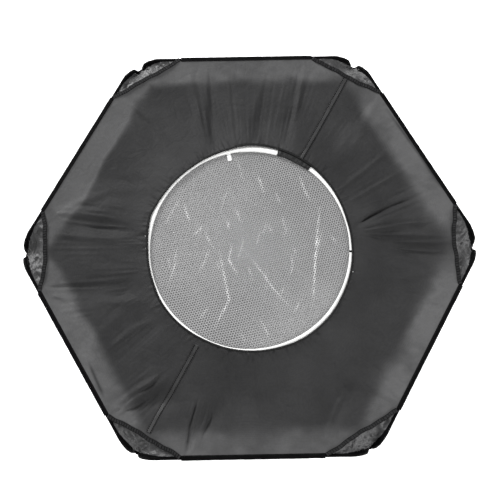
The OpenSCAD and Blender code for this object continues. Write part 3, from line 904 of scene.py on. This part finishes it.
def rim_section(t):
    # a webbing folded over the hoop and sewn flat outside it
    g = 0.00012 * math.sin(t * 420)
    pts = [(0.0002, -0.0022), (-0.0003, -0.0008), (-0.0003, 0.0008), (0.0006, 0.0022), (0.0025, 0.00275), (0.0060, 0.0026), (0.0080, 0.0016), (0.0135, 0.0010), (0.0139, 0.0002), (0.0135, -0.0009), (0.0080, -0.0016), (0.0060, -0.0026), (0.0025, -0.00275)]
    return [(u, h + g) for u, h in pts]


rim = ring_mesh("rim_band", 1080, lambda t: RIM_RI + 0.0003 * math.sin(7 * t + 1), lambda t: 0.2446, rim_section, M_RIM)
add_squash(rim, "rim_webbing", "net_rim_band")
line = np.c_[(RIM_RI + 0.0068) * np.cos(th), (RIM_RI + 0.0068) * np.sin(th), np.full(len(th), 0.24705)]
add_squash(stitches("rim_stitches", [(line, np.tile([0, 0, 1.0], (len(th), 1)))], M_LABEL, length=0.0026, pitch=0.0038, width=0.0008), "rim_webbing")

# the net: hexagonal cells of thin strands
CREASES = []
cr = np.random.default_rng(77)
for pts, high in [
    ([(320, 207), (317, 236), (315, 268), (313, 306)], 1.0),
    ([(243, 249), (257, 265), (272, 287), (289, 306)], 0.75),
    ([(219, 250), (224, 274), (229, 300), (214, 329)], 0.95),
    ([(232, 242), (229, 260), (238, 275)], 0.9),
    ([(257, 172), (261, 184), (265, 195)], 0.8),
    ([(183, 202), (190, 223)], 0.6),
    ([(236, 209), (241, 222)], 0.6),
    ([(227, 218), (229, 229)], 0.8),
    ([(203, 225), (193, 237)], 0.7),
    ([(206, 236), (214, 249)], 0.6),
    ([(281, 213), (286, 230), (283, 238)], 0.5),
    ([(299, 175), (305, 191), (311, 201)], 0.6),
    ([(164, 227), (172, 212), (180, 198)], 0.45),
    ([(177, 246), (174, 268), (169, 284)], 0.5),
    ([(260, 319), (266, 330), (270, 340)], 0.4),
    ([(294, 313), (299, 303)], 0.6),
    ([(238, 159), (240, 170), (243, 182)], 0.35),
    ([(199, 320), (209, 306)], 0.45),
    ([(329, 233), (337, 243)], 0.45),
    ([(275, 191), (281, 204)], 0.4),
]:
    CREASES.append((pts, high))
for _ in range(20):
    x0, y0 = 246 + cr.normal() * 48, 250 + cr.normal() * 48
    length = 10 + 26 * cr.random() ** 1.5
    angle = math.radians(cr.normal(96, 16) if cr.random() < 0.8 else cr.normal(55, 14))
    pts = [(x0, y0)]
    for _ in range(4):
        angle += cr.normal() * 0.16
        x0, y0 = x0 + math.cos(angle) * length / 4, y0 + math.sin(angle) * length / 4
        pts.append((x0, y0))
    CREASES.append((pts, 0.2 + 0.4 * cr.random()))


# height of the net's folds, also used as a painted highlight along them
def crease_lift_and_highlight(p):
    out = np.zeros(len(p))
    for pts, high in CREASES:
        line = np.array([at_px(x, y, NET_Z)[:2] for x, y in pts])
        total = sum(np.linalg.norm(b - a) for a, b in zip(line, line[1:]))
        done = 0.0
        best = np.zeros(len(p))
        for a, b in zip(line, line[1:]):
            d, t = seg_distance(p, a, b)
            L = np.linalg.norm(b - a)
            s = (done + t * L) / total
            best = np.maximum(best, np.minimum(1, 3 * np.minimum(s, 1 - s) + 0.1) * np.exp(-((d / 0.0025) ** 2)))
            done += L
        out += best * high
    broken = 0.85 + 0.50 * smooth_noise(p[:, 0], p[:, 1], 0 * p[:, 0], 0.022, 78)
    return np.clip(0.8 * out * np.clip(broken, 0.25, 1.2), 0, 1)


def make_net():
    pitch = 0.0062
    ang = math.radians(12)
    half = 0.239
    cells_v, cells_f = {}, []
    n = int(half / pitch) + 8
    ca, sa = math.cos(ang), math.sin(ang)
    rad = pitch / math.sqrt(3)
    keys, V, F = {}, [], []

    def vid(x, y):
        key = (round(x * 1e6), round(y * 1e6))
        for dx in (0, -1, 1):
            for dy in (0, -1, 1):
                if (key[0] + dx, key[1] + dy) in keys:
                    return keys[(key[0] + dx, key[1] + dy)]
        keys[key] = len(V)
        V.append((x, y, 0.0))
        return keys[key]

    for i in range(-n * 2, n * 2):
        for j in range(-n * 2, n * 2):
            cx, cy = pitch * (i + 0.5 * j), pitch * j * math.sqrt(3) / 2
            if math.hypot(cx, cy) > half + pitch * 0.1:
                continue
            outer_ids, inner_ids = [], []
            for q in range(6):
                a = math.radians(60 * q + 30)
                outer_ids.append(vid(cx + rad * math.cos(a), cy + rad * math.sin(a)))
            for q in range(6):
                a = math.radians(60 * q + 30)
                inner_ids.append(len(V))
                V.append((cx + rad * 0.68 * math.cos(a), cy + rad * 0.68 * math.sin(a), -0.0006))
            for q in range(6):
                F.append((outer_ids[q], outer_ids[(q + 1) % 6], inner_ids[(q + 1) % 6], inner_ids[q]))
    v = np.array(V)
    x = v[:, 0] * ca - v[:, 1] * sa
    y = v[:, 0] * sa + v[:, 1] * ca
    # the knitting pulls the cells a little out of true
    x2 = x + 0.0012 * smooth_noise(x, y, 0 * x, 0.12, 31)
    y2 = y + 0.0012 * smooth_noise(x, y, 0 * x, 0.12, 32)
    r = np.hypot(x2, y2)
    k = np.minimum(1, 0.2395 / np.maximum(r, 1e-9))
    x2, y2 = x2 * k, y2 * k
    p = np.c_[x2, y2]
    c = crease_lift_and_highlight(p)
    r = np.hypot(x2, y2)
    dish = -0.0035 * np.clip(1 - (r / 0.236) ** 2, 0, 1)
    zz = NET_Z + v[:, 2] + dish + 0.0016 * c + 0.0006 * smooth_noise(x2, y2, 0 * x2, 0.06, 33) * np.clip((0.236 - r) / 0.02, 0, 1)
    o = put("net_mesh", np.c_[x2, y2, zz], F, M_NET)
    # the crease attribute paints a highlight along the net's folds
    attribute(o, "crease", np.clip(c * 0.9, 0, 1))
    s = o.modifiers.new("s", "SOLIDIFY")
    s.thickness = 0.0006
    s.offset = 0
    return o, F, np.c_[x2, y2, zz]


net, net_faces, net_co = make_net()
add_squash(net, "net_mesh", "net")


# the black cover over the hoop's joint, wrapped and wrinkled
def cover():
    a0, a1 = math.radians(52.2), math.radians(72.8)
    n, m = 110, 16
    V = []
    r = np.random.default_rng(5)
    ph = r.random(8) * 6.28
    for i in range(n):
        t = a0 + (a1 - a0) * i / (n - 1)
        s = i / (n - 1)
        skew = 0.0006 * math.sin(s * 9 + 1)
        inner, outr = RIM_RI - 0.0016 + skew, float(hem_inner(t)) + 0.0012
        for j in range(m):
            q = j / (m - 1)
            rr = inner + (outr - inner) * q
            w = sum(math.sin(ph[k] + s * (14 + 9 * k) + q * (3 - k)) for k in range(5)) / 5
            hump = math.sin(math.pi * min(1, q * 1.1)) ** 0.6
            V.append((rr * math.cos(t), rr * math.sin(t), 0.2466 + 0.0014 * hump + 0.0007 * w * hump))
    o = put("joint_cover", V, grid(n, m), M_COVER)
    o.modifiers.new("s", "SOLIDIFY").thickness = 0.0006
    return o


cov = cover()
add_squash(cov, "cover_cloth", "hoop_joint_cover")


# the small blank label, sewn under the rim and lying on the net
def label():
    n, m = 26, 14
    V = []
    a = math.radians(101.5)
    for i in range(n):
        for j in range(m):
            s, q = i / (n - 1), j / (m - 1) - 0.5
            rr = RIM_RI + 0.004 - 0.021 * s
            w = 0.0098 * (1 + 0.02 * math.sin(7 * s))
            zz = 0.2424 + 0.0012 * math.sin(math.pi * s) + 0.0005 * math.sin(6 * s + 9 * q) - 0.0006 * s
            x, y = rr, q * w
            V.append((x * math.cos(a) - y * math.sin(a), x * math.sin(a) + y * math.cos(a), zz))
    o = put("blank_label", V, grid(n, m), M_LABEL)
    o.modifiers.new("s", "SOLIDIFY").thickness = 0.0004
    return o


lab = label()
add_squash(lab, "label_cloth", "care_label")

# a short white bar tack on the rim
tack = []
for i in range(10):
    for j in range(5):
        t = math.radians(-3.6) + math.radians(1.1) * i / 9
        rr = RIM_RI - 0.0012 + 0.0062 * j / 4
        tack.append((rr * math.cos(t), rr * math.sin(t), 0.2474 + 0.0004 * math.sin(math.pi * i / 9) + 0.0002 * (j % 2)))
add_squash(put("rim_bar_tack", tack, grid(10, 5), M_THREAD), "rim_webbing")


# ------------------------------------------------------------------ the six sides
def loop_path(n):
    """Centre line of a side's loop: n points (x, z), their outward normals, and the length along it."""
    segs = []
    zc1, zc0 = Z_TOP - LOOP_R, Z_LOW + LOOP_R
    straight_v = zc1 - zc0
    parts = [("l", 2 * RUN), ("a", LOOP_R * math.pi / 2), ("l", straight_v), ("a", LOOP_R * math.pi / 2)] * 2
    total = sum(p[1] for p in parts)
    out = []
    for i in range(n):
        s = total * i / n
        k = 0
        while s > parts[k][1]:
            s -= parts[k][1]
            k += 1
        kind, L = parts[k]
        f = s / L
        if k == 0:
            p, nr = (RUN - s, Z_TOP), (0, 1)
        elif k == 1:
            a = math.pi / 2 + f * math.pi / 2
            p, nr = (-RUN + LOOP_R * math.cos(a), zc1 + LOOP_R * math.sin(a)), (math.cos(a), math.sin(a))
        elif k == 2:
            p, nr = (-LOOP_L, zc1 - s), (-1, 0)
        elif k == 3:
            a = math.pi + f * math.pi / 2
            p, nr = (-RUN + LOOP_R * math.cos(a), zc0 + LOOP_R * math.sin(a)), (math.cos(a), math.sin(a))
        elif k == 4:
            p, nr = (-RUN + s, Z_LOW), (0, -1)
        elif k == 5:
            a = -math.pi / 2 + f * math.pi / 2
            p, nr = (RUN + LOOP_R * math.cos(a), zc0 + LOOP_R * math.sin(a)), (math.cos(a), math.sin(a))
        elif k == 6:
            p, nr = (LOOP_L, zc0 + s), (1, 0)
        else:
            a = f * math.pi / 2
            p, nr = (RUN + LOOP_R * math.cos(a), zc1 + LOOP_R * math.sin(a)), (math.cos(a), math.sin(a))
        out.append((*p, *nr, total * i / n))
    return np.array(out), total


LP, LP_LEN = loop_path(560)


def binding(k):
    r = np.random.default_rng(100 + k)
    n, m = len(LP), 18
    s = LP[:, 4]
    bend_here = (np.abs(np.abs(LP[:, 2]) - 0.5) < 0.49) & (np.abs(LP[:, 3]) < 0.999)
    wr = np.zeros(n)
    for _ in range(120):
        c, w, h = r.random() * LP_LEN, 0.002 + 0.004 * r.random(), r.normal()
        d = (s - c + LP_LEN / 2) % LP_LEN - LP_LEN / 2
        wr += h * np.exp(-((d / w) ** 2))
    wr = np.clip(wr, -1.5, 1.5)
    ang = 2 * math.pi * np.arange(m) / m
    rad = BIND_R * (0.985 + 0.012 * wr[:, None] * (0.5 + bend_here[:, None]) + 0.015 * np.sin(2 * ang[None] + 0.8 * np.sin(s[:, None] * 12 + k)))
    # a mask round the binding's section, highest on its inner side
    seam_side = np.exp(-(((ang - math.pi + math.pi) % (2 * math.pi) - math.pi) / 0.35) ** 2)
    on_top = np.clip((LP[:, 3] - 0.34) / 0.3, 0, 1) * np.clip((0.9995 - LP[:, 3]) / 0.05, 0, 1)
    for _ in range(16):
        on_top = (np.roll(on_top, 1) + 2 * on_top + np.roll(on_top, -1)) / 4
    fuller = 0.0042 * on_top * (1 + 0.25 * np.sin(s * 260 + k) * np.sin(s * 97))
    out = np.cos(ang)[None] * rad + np.clip(np.cos(ang), 0, 1)[None] * fuller[:, None]
    side = np.sin(ang)[None] * (rad + np.minimum(0.30 * fuller[:, None], 0.0010))
    px = LP[:, 0][:, None] + LP[:, 2][:, None] * out
    pz = LP[:, 1][:, None] + LP[:, 3][:, None] * out
    p = np.stack([px, side, np.maximum(pz, 0.0001)], -1)
    o = put("binding_" + SIDES[k], side_place(k, p).reshape(-1, 3), grid(n, m, True, True), M_BIND)
    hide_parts("side_binding_" + SIDES[k])
    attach(o, BODY[SIDES[k]])
    # stitching through the cloth just inside the binding, on both faces
    lines = []
    for y in (-1, 1):
        q = np.r_[0:n:2, 0]
        inset = BIND_R + 0.0026
        pts = np.stack([LP[q, 0] - LP[q, 2] * inset, np.full(len(q), y * 0.0011), LP[q, 1] - LP[q, 3] * inset], -1)
        nor = np.stack([0 * q, np.full(len(q), float(y)), 0 * q], -1)
        a = side_place(k, pts)
        b = side_place(k, pts + nor)
        lines.append((a, b - a))
    st = stitches("binding_stitches_" + SIDES[k], lines, M_THREAD, length=0.0034, pitch=0.0052, width=0.0009, height=0.0005)
    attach(st, BODY[SIDES[k]])
    # the binding's flat edge over the cloth
    n2 = len(LP)
    secs = [(BIND_R - 0.0006, 0.0006), (BIND_R + 0.0038, 0.0009), (BIND_R + 0.0044, 0.0004), (BIND_R + 0.0044, -0.0004), (BIND_R + 0.0038, -0.0009), (BIND_R - 0.0006, -0.0006)]
    V = []
    for i in range(n2):
        for q, (u, y) in enumerate(secs):
            w = 0.0002 * math.sin(s[i] * 900 + q) if 0 < q < 5 else 0
            V.append((LP[i, 0] - LP[i, 2] * (u + w), y, LP[i, 1] - LP[i, 3] * (u + w)))
    e = put("binding_edge_" + SIDES[k], side_place(k, np.array(V)), grid(n2, len(secs), True, True), M_TAPE)
    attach(e, BODY[SIDES[k]])


def wall_shape(seed, nt=260, nr=46):
    """The side's cloth as rings from its middle line out to the binding."""
    lp, _ = loop_path(nt)
    edge = np.c_[lp[:, 0] - lp[:, 2] * (BIND_R - 0.0012), lp[:, 1] - lp[:, 3] * (BIND_R - 0.0012)]
    mid = np.c_[np.clip(lp[:, 0], -SLEEVE_L, SLEEVE_L) * 0.92, np.full(nt, (Z_TOP + Z_LOW) / 2)]
    f = np.linspace(0, 1, nr)
    p = mid[:, None] * (1 - f)[None, :, None] + edge[:, None] * f[None, :, None]
    return p, f


def make_wall(seed, k):
    p, f = wall_shape(seed)
    nt, nr = p.shape[:2]
    x, zz = p[..., 0].ravel(), p[..., 1].ravel()
    F = np.tile(f, nt)
    r = np.random.default_rng(seed)
    y = 0.0020 * smooth_noise(x, zz, 0 * x, 0.16, seed) + 0.0008 * smooth_noise(x, zz, 0 * x, 0.05, seed + 1)
    for _ in range(16):
        # creases that fan in from the rounded corners
        cx, cz = r.choice([-1, 1]) * (LOOP_L - 0.025), r.choice([0.032, 0.216])
        a = math.atan2(0.124 - cz, -cx * 0.8) + r.normal() * 0.5
        L = 0.06 + 0.12 * r.random()
        A = np.array([cx, cz])
        B = A + L * np.array([math.cos(a), math.sin(a)])
        d, t = seg_distance(np.c_[x, zz], A, B)
        y += r.choice([-1, 1]) * 0.0022 * np.sin(math.pi * np.clip(t, 0, 1)) * np.exp(-((d / 0.005) ** 2))
    y *= np.clip((1 - F) / 0.10, 0, 1)
    return np.c_[x, y, zz], grid(nt, nr, True, False), F


WALLS = []
for v in range(2):
    verts, faces, F = make_wall(40 + 7 * v, v)
    w = put("wall_sim", verts, faces, None)
    simulate(w, F > 0.985, 14, grow=0.006, bend=0.3, gravity=0.5, quality=4)
    WALLS.append(coords(w).copy())
    bpy.data.objects.remove(w)
for k in range(6):
    binding(k)
    c = WALLS[k % 2].copy()
    if k in (2, 3, 5):
        c[:, 0] *= -1
    if k in (1, 4):
        c[:, 1] *= -1
    c[:, 1] = np.clip(c[:, 1], -0.014, 0.014)
    fcs = faces if k not in (2, 3, 5) else faces[:, ::-1]
    o = put("wall_" + SIDES[k], side_place(k, c), fcs, M_SIDE)
    o.modifiers.new("weld", "WELD").merge_threshold = 0.00002
    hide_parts("side_cloth_" + SIDES[k])
    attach(o, BODY[SIDES[k]])


def sleeve(k):
    """The edge tape: a half tube over the loop's top run, with a flange sewn on the deck."""
    r = np.random.default_rng(200 + k)
    n = 170
    xs = np.linspace(-SLEEVE_L, SLEEVE_L, n)
    w1 = np.zeros(n)
    for _ in range(46):
        c, w, h = (r.random() * 2 - 1) * SLEEVE_L, 0.003 + 0.006 * r.random(), r.normal()
        w1 += h * np.exp(-(((xs - c) / w) ** 2))
    w1 = np.clip(w1, -1.6, 1.6) * 0.00014
    prof = []  # (y, z, weight of the ripple)
    flange = EDGE_IN if k == 1 else 0.0045
    prof.append((-flange - 0.0012, SLEEVE_RI + 0.0006, 0.6))
    prof.append((-flange - 0.0009, SLEEVE_RI + 0.0013, 0.8))
    prof.append((-flange + 0.0012, SLEEVE_RI + 0.0015, 1.0))
    for a in np.radians([100, 85, 70, 55, 40, 25, 10, -5, -20, -35, -50, -62]):
        prof.append(((SLEEVE_RO + 0.0008 * max(0, math.cos(a))) * math.cos(a), SLEEVE_RO * math.sin(a), 1.0))
    for a in np.radians([-64, -50, -30, 0, 30, 60, 85]):
        prof.append((SLEEVE_RI * math.cos(a), SLEEVE_RI * math.sin(a), 0.0))
    prof.append((-flange, SLEEVE_RI - 0.0001, 0.0))
    prof.append((-flange - 0.0011, SLEEVE_RI + 0.0003, 0.3))
    V = []
    for i in range(n):
        for q, (y, zc, w) in enumerate(prof):
            L = math.hypot(y, zc)
            V.append((xs[i], y * (1 + w1[i] * w / L), Z_TOP + zc * (1 + w1[i] * w / L)))
    m = len(prof)
    f = list(map(tuple, grid(n, m, False, True)))
    f += [tuple(range(m)), tuple((n - 1) * m + i for i in reversed(range(m)))]
    o = put("sleeve_" + SIDES[k], side_place(k, np.array(V)), f, M_TAPE)
    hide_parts("edge_sleeve_" + SIDES[k])
    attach(o, BODY[SIDES[k]])
    pts = side_place(k, np.c_[xs, np.full(n, -flange + 0.0008), np.full(n, Z_TOP + SLEEVE_RI + 0.0014)])
    st = stitches("sleeve_stitches_" + SIDES[k], [(pts, np.tile([0, 0, 1.0], (n, 1)))], M_THREAD2, length=0.0032, pitch=0.0046)
    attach(st, BODY[SIDES[k]])


for k in range(6):
    sleeve(k)


def loop_end(zz):
    """Distance from the corner, along the side, to the loop's centre line at this height."""
    e = np.full_like(zz, SIDE / 2 - LOOP_L)
    for c, sgn in ((Z_TOP - LOOP_R, 1), (Z_LOW + LOOP_R, -1)):
        d = np.clip((zz - c) * sgn, 0, LOOP_R)
        e += LOOP_R - np.sqrt(LOOP_R ** 2 - d ** 2)
    return e


def corner(i):
    """The corner seam: a black tape sewn to both loops."""
    n, m = 70, 25
    zz = np.linspace(0.046, 0.203, n)
    e = loop_end(zz)
    a0 = math.radians(60 * i)
    tip = np.array([SIDE * math.cos(a0), SIDE * math.sin(a0)])
    da, db = a0 + math.radians(120), a0 - math.radians(120)  # along the two sides, away from the corner
    ua, ub = np.array([math.cos(da), math.sin(da)]), np.array([math.cos(db), math.sin(db)])
    na, nb = -np.array([math.cos(a0 + math.pi / 6), math.sin(a0 + math.pi / 6)]), -np.array([math.cos(a0 - math.pi / 6), math.sin(a0 - math.pi / 6)])
    axis = np.array([SEAM_C * math.cos(a0), SEAM_C * math.sin(a0)])
    inward = -np.array([math.cos(a0), math.sin(a0)])
    r = np.random.default_rng(300 + i)
    rows = []
    for j in range(n):
        A = tip + ua * (e[j] + 0.006) + na * (BIND_R + 0.0004)
        A2 = tip + ua * (e[j] - 0.001) + na * (BIND_R + 0.0007)
        B = tip + ub * (e[j] + 0.006) + nb * (BIND_R + 0.0004)
        B2 = tip + ub * (e[j] - 0.001) + nb * (BIND_R + 0.0007)
        mid = axis + inward * (0.0016 + 0.0007 * math.sin(zz[j] * 160 + i))
        key = np.array([A, A2, (A2 + mid) / 2 - inward * 0.0006, mid, (B2 + mid) / 2 - inward * 0.0006, B2, B])
        t = np.linspace(0, 6, m)
        rows.append(np.c_[[np.interp(t, range(7), key[:, d]) for d in range(2)]].T)
    V = np.zeros((n, m, 3))
    for j in range(n):
        V[j, :, :2] = rows[j]
        V[j, :, 2] = zz[j] + 0.0008 * np.sin(np.linspace(0, 6, m) + i)
    for _ in range(2):
        V[:, 1:-1, :2] = (V[:, :-2, :2] + 2 * V[:, 1:-1, :2] + V[:, 2:, :2]) / 4
    # the cut: a strip 157 mm long, as wide at each height as the way across the seam
    parent = ["rear_right", "rear", "rear", "rear_left", "front_left", "front"][i]
    side_a, side_b = SIDES[i], SIDES[(i - 1) % 6]  # the sides at +120 and -120 degrees
    node_name = "corner_tape_" + CORNERS[i]
    if i == 5:
        half = m // 2
        cuts = {side_a: V[:, : half + 1], side_b: V[:, half:] - np.array([0, 0, 0.0002])}
        for name, part in cuts.items():
            o = put("corner_" + CORNERS[i] + "_" + name, part.reshape(-1, 3), grid(n, part.shape[1]), M_TAPE)
            o.modifiers.new("s", "SOLIDIFY").thickness = 0.0009
            o.modifiers["s"].offset = 0
            if name == parent:
                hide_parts(node_name)
            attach(o, BODY[name])
        return
    o = put("corner_" + CORNERS[i], V.reshape(-1, 3), grid(n, m), M_TAPE)
    s = o.modifiers.new("s", "SOLIDIFY")
    s.thickness, s.offset = 0.0009, 0
    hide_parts(node_name)
    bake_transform(o)


for i in range(6):
    corner(i)

# ------------------------------------------------------------------ wires and ferrules keep their CAD shapes
for s in SIDES:
    for n, m in (("side_wire_" + s, M_STEEL), ("wire_ferrule_" + s, M_CRIMP)):
        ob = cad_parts[n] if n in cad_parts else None
        if ob is not None:
            for q in range(len(ob.material_slots)):
                ob.material_slots[q].material = m
            if not ob.material_slots:
                ob.data.materials.append(m)

for o in squashed:
    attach(o, "deck_and_rear")
    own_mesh(o)

# ------------------------------------------------------------------ floor and light
floor_m, t, b = material("floor")
co = node(t, "ShaderNodeTexCoord")
n = node(t, "ShaderNodeTexNoise", in_Scale=3.0)
t.links.new(co.outputs["Object"], n.inputs["Vector"])
mx = node(t, "ShaderNodeMix", data_type="RGBA")
mx.inputs[6].default_value = (0.90, 0.90, 0.90, 1)
mx.inputs[7].default_value = (0.93, 0.93, 0.93, 1)
t.links.new(n.outputs["Fac"], mx.inputs[0])
t.links.new(mx.outputs[2], b.inputs["Base Color"])
b.inputs["Roughness"].default_value = 0.9
b.inputs["Specular IOR Level"].default_value = 0.1
# the floor glows: painted light, emission rising from 0.09 under the net to 0.85 beyond 0.56 m, which brightens the
# net's holes and washes out the object's shadow
b.inputs["Emission Color"].default_value = (1, 1, 1, 1)
floor_glow_radius = node(t, "ShaderNodeVectorMath", operation="LENGTH")
t.links.new(co.outputs["Object"], floor_glow_radius.inputs[0])
ramp = node(t, "ShaderNodeMapRange", interpolation_type="SMOOTHSTEP", in_From_Min=0.40, in_From_Max=0.56, in_To_Min=0.09, in_To_Max=0.85)
t.links.new(floor_glow_radius.outputs["Value"], ramp.inputs["Value"])
t.links.new(ramp.outputs[0], b.inputs["Emission Strength"])
floor = put("floor", [(-200, -200, 0), (200, -200, 0), (200, 200, 0), (-200, 200, 0)], [(0, 1, 2, 3)], floor_m, smooth=False)
world = bpy.data.worlds.new("world")
bpy.context.scene.world = world
world.use_nodes = True
world.node_tree.nodes["Background"].inputs[0].default_value = (1, 1, 1, 1)
world.node_tree.nodes["Background"].inputs[1].default_value = 0.45


def lamp(name, place, size, power, target=(0, 0, 0.2)):
    d = bpy.data.lights.new(name, "AREA")
    d.shape = "DISK"
    d.size = size
    d.energy = power
    o = bpy.data.objects.new(name, d)
    bpy.context.scene.collection.objects.link(o)
    o.location = place
    o.rotation_euler = (Vector(target) - Vector(place)).to_track_quat("-Z", "Y").to_euler()


lamp("key", (-3.8, 4.7, 3.3), 2.4, 730)
lamp("fill", (2.8, -2.2, 2.4), 2.4, 150)
bpy.context.scene.view_settings.view_transform = "Standard"
bpy.context.scene.view_settings.look = "None"
bpy.context.scene.view_settings.exposure = 0.0
